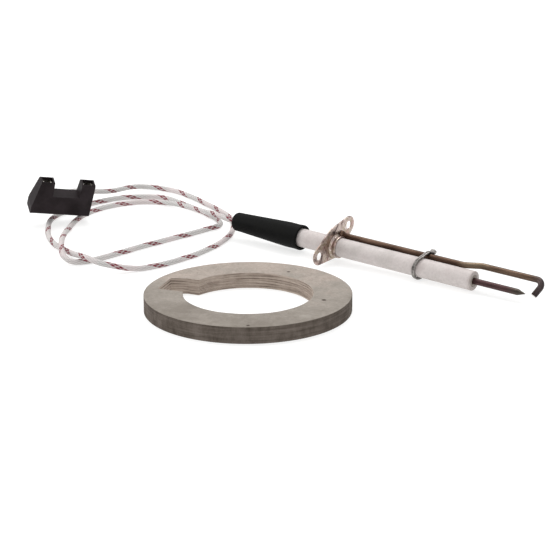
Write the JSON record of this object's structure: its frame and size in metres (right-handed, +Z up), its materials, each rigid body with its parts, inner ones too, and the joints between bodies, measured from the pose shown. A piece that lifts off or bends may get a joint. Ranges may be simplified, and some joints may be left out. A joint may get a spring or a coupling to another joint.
{
  "type": "burner ignition electrode",
  "caption": "Ceramic ignition electrode with a flange and a hooked earth rod, a push-on rubber boot and braided lead ending in a plug-in connector, and a loose round gasket.",
  "frame": {"origin": "bottom centre of the box round the electrode, boot and gasket; the lead and its connector are left out of it", "axes": "+Z up from the surface it lies on; +X the long way of the kit, toward the spark tip, with the electrode's axis swung 4.3 degrees toward the gasket and dipping 1.59 degrees; +Y from the gasket toward the electrode"},
  "size_m": [0.3082, 0.206, 0.0294],
  "materials": {
    "ceramic": "fine matt body, lightly speckled",
    "cement": "rough sealing cement",
    "heat_tinted_rod": "heat-resistant alloy, tinted brown by heat",
    "nickel_plate": "nickel-plated",
    "flange_steel": "stainless steel, lightly heat-tinted",
    "clamp_wire": "drawn stainless wire",
    "black_rubber": "matt moulded rubber",
    "glass_braid": "glass-fibre braid with a red tracer",
    "black_plastic": "fine-grained moulded plastic",
    "contact_brass": "rolled sheet",
    "gasket_fibre": "pressed fibre sheet, laminated"
  },
  "bodies": {
    "electrode": {"ceramic_insulator": "ceramic", "front_cement": "cement", "rear_cement": "cement", "ignition_rod": "heat_tinted_rod", "terminal_pin": "nickel_plate", "mounting_flange": "flange_steel", "flange_collar": "flange_steel", "retaining_ring": "clamp_wire", "earth_rod": "heat_tinted_rod", "earth_rod_weld": "heat_tinted_rod", "clamp_wire": "clamp_wire", "clamp_twist": "clamp_wire"},
    "lead_assembly": {"rubber_boot": "black_rubber", "spring_contact": "contact_brass", "crimp_barrel": "contact_brass", "lead_end_in_boot": "glass_braid", "ignition_lead": "glass_braid", "lead_end_in_connector": "glass_braid", "lead_grommet": "black_rubber", "connector_housing": "black_plastic", "connector_cover": "black_plastic", "left_receptacle": "contact_brass", "right_receptacle": "contact_brass", "contact_bridge": "contact_brass", "connector_crimp": "contact_brass"},
    "gasket": {"gasket_ring": "gasket_fibre"}
  },
  "joints": [
    {"name": "lead_unplug", "type": "slide", "parent": "electrode", "child": "lead_assembly", "axis": [-0.9968, 0.0755, 0.0278], "range_m": [0, 0.038]},
    {"name": "gasket_lift", "type": "slide", "parent": "electrode", "child": "gasket", "axis": [0, 0, 1], "range_m": [0, 0.05]}
  ]
}
